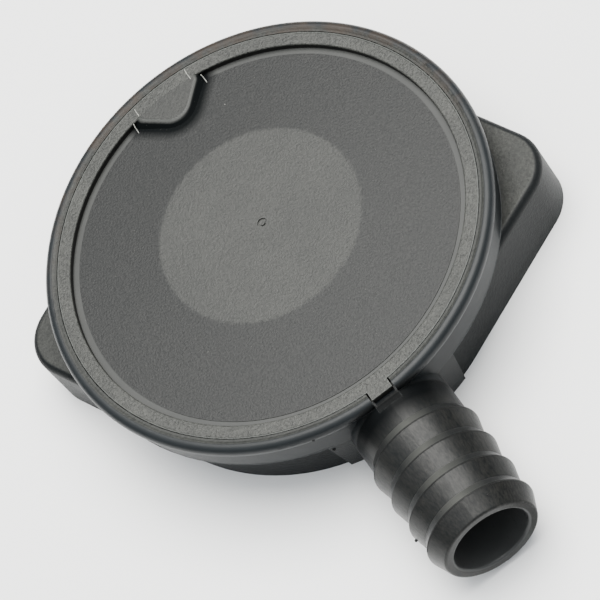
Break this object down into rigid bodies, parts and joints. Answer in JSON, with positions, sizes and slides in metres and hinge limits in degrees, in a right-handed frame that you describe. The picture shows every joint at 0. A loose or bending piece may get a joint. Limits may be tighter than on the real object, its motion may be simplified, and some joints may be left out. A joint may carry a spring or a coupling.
{
  "type": "crankcase vent valve",
  "caption": "Round diaphragm valve for crankcase gas: drum with beaded rim and recessed cover disc on a base with ears, and a ribbed hose nipple.",
  "frame": {"origin": "centre of the base face that the valve is fastened by, on the disc's axis", "axes": "+Z along the disc's axis, out of the cover; X through the two ears; the hose nipple points 70 degrees clockwise from +X, seen from above"},
  "size_m": [0.1045, 0.119, 0.0227],
  "materials": {
    "bush_bronze": "sintered",
    "clamp_steel": "pressed, bright",
    "cover_plastic": "moulded glass-filled nylon, grained",
    "cup_steel": "pressed, bright",
    "diaphragm_rubber": "matt",
    "filter_bronze": "sintered",
    "housing_plastic": "moulded glass-filled nylon, fine texture",
    "insert_brass": "turned",
    "nut_steel": "spring steel",
    "pad_rubber": "matt",
    "pin_steel": "ground",
    "plate_plastic": "moulded glass-filled nylon",
    "seal_rubber": "matt",
    "seat_brass": "turned",
    "spring_steel": "drawn wire",
    "support_plastic": "natural nylon"
  },
  "bodies": {
    "valve_body": {"housing": "housing_plastic", "cover": "cover_plastic", "duct_plate": "plate_plastic", "guide_pin": "pin_steel", "seat_ring": "seat_brass", "spring_cup": "cup_steel", "pressure_spring": "spring_steel", "rolling_diaphragm": "diaphragm_rubber", "vent_filter": "filter_bronze", "base_seal": "seal_rubber", "threaded_insert_left": "insert_brass", "threaded_insert_right": "insert_brass"},
    "moving_plate": {"support_plate": "support_plastic", "clamp_plate": "clamp_steel", "push_nut": "nut_steel", "valve_pad": "pad_rubber", "guide_bush": "bush_bronze"}
  },
  "joints": [
    {"name": "plate_stroke", "type": "slide", "parent": "valve_body", "child": "moving_plate", "axis": [0, 0, -1], "range_m": [0, 0.003], "stiffness_N_per_m": 300, "springref_m": -0.002, "deforming": ["pressure_spring", "rolling_diaphragm"]}
  ]
}
